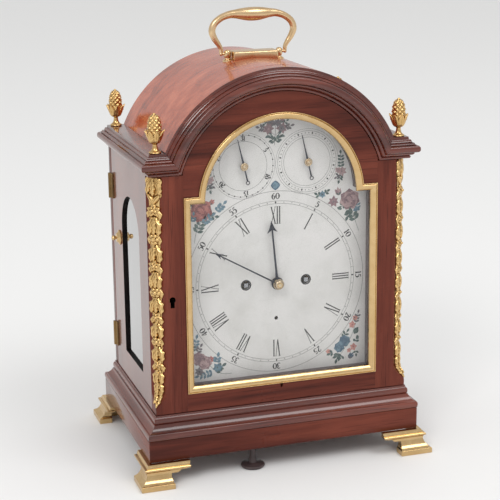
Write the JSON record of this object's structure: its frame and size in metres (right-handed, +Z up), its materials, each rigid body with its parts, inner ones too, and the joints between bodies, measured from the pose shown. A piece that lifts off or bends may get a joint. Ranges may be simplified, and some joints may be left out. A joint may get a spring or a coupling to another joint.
{
  "type": "bracket clock",
  "caption": "Mahogany table clock with arched dial, glazed doors front and back, vaulted top with carrying handle, brass feet, and a two-train fusee movement with pendulum and bell.",
  "frame": {"origin": "on the ground, under the middle of the clock's bounding box", "axes": "+X to the right of the dial, +Y from the dial to the back door, +Z up"},
  "size_m": [0.3154, 0.2318, 0.4642],
  "materials": {
    "mahogany": "french polished, reddish brown, fine straight figure",
    "vault_veneer": "french polished veneer, paler orange brown",
    "inner_wood": "unpolished dark softwood",
    "gilt_brass": "cast and lacquered, bright on the high points",
    "brass": "polished sheet and turned brass, lightly tarnished",
    "steel": "polished steel",
    "blued_steel": "blued steel",
    "dial_paint": "off-white painted iron dial, black numerals, coloured sprays",
    "glass": "clear window glass",
    "bell_metal": "turned bell metal"
  },
  "bodies": {
    "case": {"plinth_frame": "mahogany", "base_moulding": "mahogany", "foot_front_left": "gilt_brass", "foot_front_right": "gilt_brass", "foot_rear_left": "gilt_brass", "foot_rear_right": "gilt_brass", "steady_button": "vault_veneer", "side_panel_left": "mahogany", "side_panel_right": "mahogany", "side_glass_left": "glass", "side_glass_right": "glass", "cornice_left": "mahogany", "cornice_right": "mahogany", "front_arch_moulding": "mahogany", "vault_shell": "vault_veneer", "rear_arch_board": "mahogany", "finial_front_left": "gilt_brass", "finial_front_right": "gilt_brass", "finial_rear_left": "gilt_brass", "finial_rear_right": "gilt_brass", "handle_saddle": "brass", "handle_post_left": "brass", "handle_post_right": "brass", "repeat_boss": "brass", "back_hinge_lower": "brass", "back_hinge_upper": "brass", "seat_board": "inner_wood", "movement_front_plate": "brass", "movement_back_plate": "brass", "bell": "bell_metal", "dial_plate": "dial_paint"},
    "front_door": {"door_frame": "mahogany", "door_bezel": "gilt_brass", "door_glass": "glass", "corner_mount_left": "gilt_brass", "corner_mount_right": "gilt_brass", "door_lock": "brass"},
    "door_bolt": {"lock_bolt": "steel"},
    "back_door": {"back_door_frame": "mahogany", "back_door_glass": "glass"},
    "back_catch": {"back_door_catch": "brass"},
    "handle": {"carrying_handle": "brass"},
    "repeat_pull": {"repeat_knob": "steel"},
    "minute_work": {"minute_hand": "blued_steel", "centre_arbor": "brass"},
    "hour_work": {"hour_hand": "blued_steel", "hour_wheel": "brass"},
    "minute_wheel_body": {"minute_wheel": "brass"},
    "going_fusee_body": {"going_fusee": "brass"},
    "going_barrel_body": {"going_barrel": "brass"},
    "third_wheel_body": {"third_wheel": "brass"},
    "escape_wheel_body": {"escape_wheel": "brass"},
    "strike_fusee_body": {"strike_fusee": "brass"},
    "strike_barrel_body": {"strike_barrel": "brass"},
    "pin_wheel_body": {"pin_wheel": "brass"},
    "calendar": {"calendar_hand": "blued_steel"},
    "strike_silent": {"strike_silent_hand": "blued_steel"},
    "pendulum_body": {"pendulum": "brass", "pallet_anchor": "steel"},
    "hammer_body": {"hammer": "steel"}
  },
  "joints": [
    {"name": "front_door_hinge", "type": "hinge", "parent": "case", "child": "front_door", "pos_m": [0.131, -0.08765, 0.19], "axis": [0, 0, 1], "range_deg": [0, 100]},
    {"name": "door_lock_bolt", "type": "slide", "parent": "front_door", "child": "door_bolt", "axis": [-1, 0, 0], "range_m": [0, 0.003]},
    {"name": "back_door_hinge", "type": "hinge", "parent": "case", "child": "back_door", "pos_m": [-0.1374, 0.0766, 0.19], "axis": [0, 0, 1], "range_deg": [0, 95]},
    {"name": "back_door_turn_catch", "type": "hinge", "parent": "back_door", "child": "back_catch", "pos_m": [0.113, 0.08335, 0.1885], "axis": [0, 1, 0], "range_deg": [0, 90]},
    {"name": "carrying_handle_hinge", "type": "hinge", "parent": "case", "child": "handle", "pos_m": [0, -0.00265, 0.418], "axis": [1, 0, 0], "range_deg": [-80, 80]},
    {"name": "repeat_pull_slide", "type": "slide", "parent": "case", "child": "repeat_pull", "axis": [-1, 0, 0], "range_m": [0, 0.018], "stiffness_N_per_m": 60, "springref_m": -0.004},
    {"name": "minute_hand_turn", "type": "hinge", "parent": "case", "child": "minute_work", "pos_m": [0, -0.03165, 0.19096], "axis": [0, 1, 0], "continuous": true},
    {"name": "hour_hand_turn", "type": "hinge", "parent": "case", "child": "hour_work", "pos_m": [0, -0.03165, 0.19096], "axis": [0, 1, 0], "continuous": true},
    {"name": "minute_wheel_turn", "type": "hinge", "parent": "case", "child": "minute_wheel_body", "pos_m": [0, -0.03165, 0.17296], "axis": [0, 1, 0], "continuous": true},
    {"name": "going_fusee_turn", "type": "hinge", "parent": "case", "child": "going_fusee_body", "pos_m": [0.0323, -0.03165, 0.19096], "axis": [0, 1, 0], "continuous": true},
    {"name": "going_barrel_turn", "type": "hinge", "parent": "case", "child": "going_barrel_body", "pos_m": [0.048, -0.03165, 0.138], "axis": [0, 1, 0], "continuous": true},
    {"name": "third_wheel_turn", "type": "hinge", "parent": "case", "child": "third_wheel_body", "pos_m": [0, -0.03165, 0.22021], "axis": [0, 1, 0], "continuous": true},
    {"name": "escape_wheel_turn", "type": "hinge", "parent": "case", "child": "escape_wheel_body", "pos_m": [0, -0.03165, 0.24361], "axis": [0, 1, 0], "continuous": true},
    {"name": "strike_fusee_turn", "type": "hinge", "parent": "case", "child": "strike_fusee_body", "pos_m": [-0.0323, -0.03165, 0.19096], "axis": [0, 1, 0], "continuous": true},
    {"name": "strike_barrel_turn", "type": "hinge", "parent": "case", "child": "strike_barrel_body", "pos_m": [-0.048, -0.03165, 0.138], "axis": [0, 1, 0], "continuous": true},
    {"name": "pin_wheel_turn", "type": "hinge", "parent": "case", "child": "pin_wheel_body", "pos_m": [-0.0398, -0.03165, 0.21895], "axis": [0, 1, 0], "continuous": true},
    {"name": "calendar_hand_turn", "type": "hinge", "parent": "case", "child": "calendar", "pos_m": [-0.0338, -0.03165, 0.3143], "axis": [0, 1, 0], "continuous": true},
    {"name": "strike_silent_hand_turn", "type": "hinge", "parent": "case", "child": "strike_silent", "pos_m": [0.0338, -0.07365, 0.3143], "axis": [0, 1, 0], "range_deg": [0, 170]},
    {"name": "pendulum_swing", "type": "hinge", "parent": "case", "child": "pendulum_body", "pos_m": [0, 0.00835, 0.26561], "axis": [0, 1, 0], "range_deg": [-4, 4]},
    {"name": "hammer_lift", "type": "hinge", "parent": "case", "child": "hammer_body", "pos_m": [-0.06, -0.03165, 0.25], "axis": [0, 1, 0], "range_deg": [-14, 0], "stiffness_Nm_per_rad": 0.02, "springref_deg": 17.19}
  ],
  "couplings": [
    {"joint": "hour_hand_turn", "follows": "minute_hand_turn", "ratio": 0.083333},
    {"joint": "minute_wheel_turn", "follows": "minute_hand_turn", "ratio": -1},
    {"joint": "going_fusee_turn", "follows": "minute_hand_turn", "ratio": -0.083333},
    {"joint": "going_barrel_turn", "follows": "minute_hand_turn", "ratio": -0.056818},
    {"joint": "third_wheel_turn", "follows": "minute_hand_turn", "ratio": -12},
    {"joint": "escape_wheel_turn", "follows": "minute_hand_turn", "ratio": 132},
    {"joint": "pin_wheel_turn", "follows": "strike_fusee_turn", "ratio": -10.667},
    {"joint": "strike_barrel_turn", "follows": "strike_fusee_turn", "ratio": 0.68182}
  ]
}
